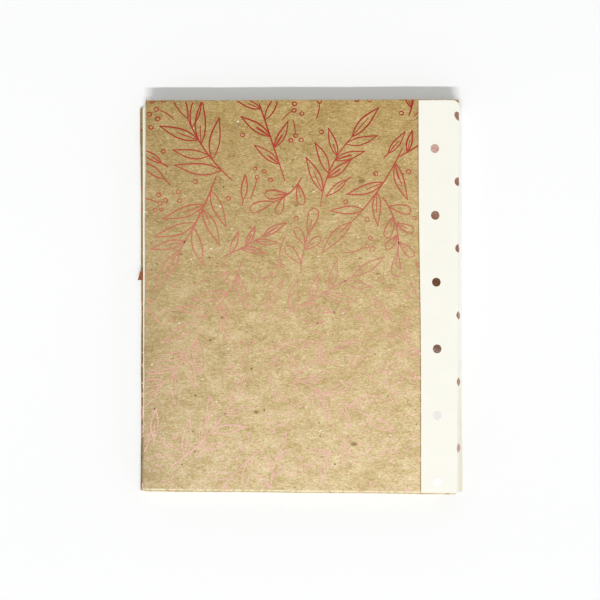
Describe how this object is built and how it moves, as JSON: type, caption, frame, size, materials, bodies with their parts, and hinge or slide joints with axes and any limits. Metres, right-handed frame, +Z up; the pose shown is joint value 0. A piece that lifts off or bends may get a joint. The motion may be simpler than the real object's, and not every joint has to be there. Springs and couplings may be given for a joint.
{
  "type": "scrapbook album",
  "caption": "Slim closed scrapbook album with wrapped board covers, a soft dotted spine strip, fanning card leaves and a pull-out tag on a ribbon.",
  "frame": {"origin": "centre of the front cover's outer face, which lies on the table", "axes": "+X towards the spine, +Y towards the head of the pages, +Z up, from the front cover to the back cover"},
  "size_m": [0.213, 0.257, 0.013],
  "materials": {
    "printed_kraft": "matt mottled kraft paper with foil sprigs, deep red at the head to pale pink at the tail",
    "plain_kraft": "matt unprinted kraft paper",
    "dotted_strip": "matt cream paper with copper foil dots",
    "greyboard": "uncoated grey bookbinding board",
    "liner": "matt cream liner sheet",
    "cream_card": "matt ivory card",
    "sand_paper": "matt sand-coloured mat",
    "blush_paper": "matt blush-coloured mat",
    "rust_ribbon": "woven rust-brown ribbon"
  },
  "bodies": {
    "front_cover": {"front_board": "greyboard", "front_cover_paper": "printed_kraft", "front_liner": "liner", "front_strip_flap": "dotted_strip"},
    "spine": {"spine_strip": "dotted_strip", "spine_card": "cream_card", "binding_base": "plain_kraft"},
    "back_cover": {"back_board": "greyboard", "back_cover_paper": "printed_kraft", "back_liner": "liner", "back_strip_flap": "dotted_strip"},
    "page_1": {"page_1_card": "cream_card", "page_1_fin": "plain_kraft", "page_1_lower_mat": "sand_paper", "pocket_panel": "blush_paper", "pocket_seams": "blush_paper"},
    "tag": {"pull_tag": "cream_card", "tag_ribbon": "rust_ribbon"},
    "page_2": {"page_2_card": "cream_card", "page_2_fin": "plain_kraft", "page_2_lower_mat": "sand_paper", "page_2_upper_mat": "blush_paper"},
    "page_3": {"page_3_card": "cream_card", "page_3_fin": "plain_kraft", "page_3_lower_mat": "sand_paper", "page_3_upper_mat": "blush_paper"},
    "page_4": {"page_4_card": "cream_card", "page_4_fin": "plain_kraft", "page_4_lower_mat": "sand_paper", "page_4_upper_mat": "blush_paper"},
    "page_5": {"page_5_card": "cream_card", "page_5_fin": "plain_kraft", "page_5_lower_mat": "sand_paper", "page_5_upper_mat": "blush_paper"}
  },
  "joints": [
    {"name": "spine_fold", "type": "hinge", "parent": "front_cover", "child": "spine", "pos_m": [0.1024, 0, 0.00128], "axis": [0, 1, 0], "range_deg": [0, 67.5]},
    {"name": "back_cover_open", "type": "hinge", "parent": "spine", "child": "back_cover", "pos_m": [0.1067, 0, 0.01172], "axis": [0, 1, 0], "range_deg": [0, 180]},
    {"name": "page_1_turn", "type": "hinge", "parent": "spine", "child": "page_1", "pos_m": [0.10134, 0, 0.00343], "axis": [0, 1, 0], "range_deg": [-64.17, 0]},
    {"name": "page_2_turn", "type": "hinge", "parent": "spine", "child": "page_2", "pos_m": [0.1021, 0, 0.00527], "axis": [0, 1, 0], "range_deg": [-51.35, 0]},
    {"name": "page_3_turn", "type": "hinge", "parent": "spine", "child": "page_3", "pos_m": [0.10269, 0, 0.0067], "axis": [0, 1, 0], "range_deg": [-38.52, 0]},
    {"name": "page_4_turn", "type": "hinge", "parent": "spine", "child": "page_4", "pos_m": [0.10328, 0, 0.00813], "axis": [0, 1, 0], "range_deg": [-25.7, 0]},
    {"name": "page_5_turn", "type": "hinge", "parent": "spine", "child": "page_5", "pos_m": [0.10387, 0, 0.00957], "axis": [0, 1, 0], "range_deg": [-12.88, 0]},
    {"name": "tag_slide", "type": "slide", "parent": "page_1", "child": "tag", "axis": [-1, 0, 0], "range_m": [0, 0.1]}
  ],
  "couplings": [
    {"joint": "page_1_turn", "follows": "spine_fold", "ratio": -0.95},
    {"joint": "page_2_turn", "follows": "spine_fold", "ratio": -0.76},
    {"joint": "page_3_turn", "follows": "spine_fold", "ratio": -0.57},
    {"joint": "page_4_turn", "follows": "spine_fold", "ratio": -0.38},
    {"joint": "page_5_turn", "follows": "spine_fold", "ratio": -0.19}
  ]
}
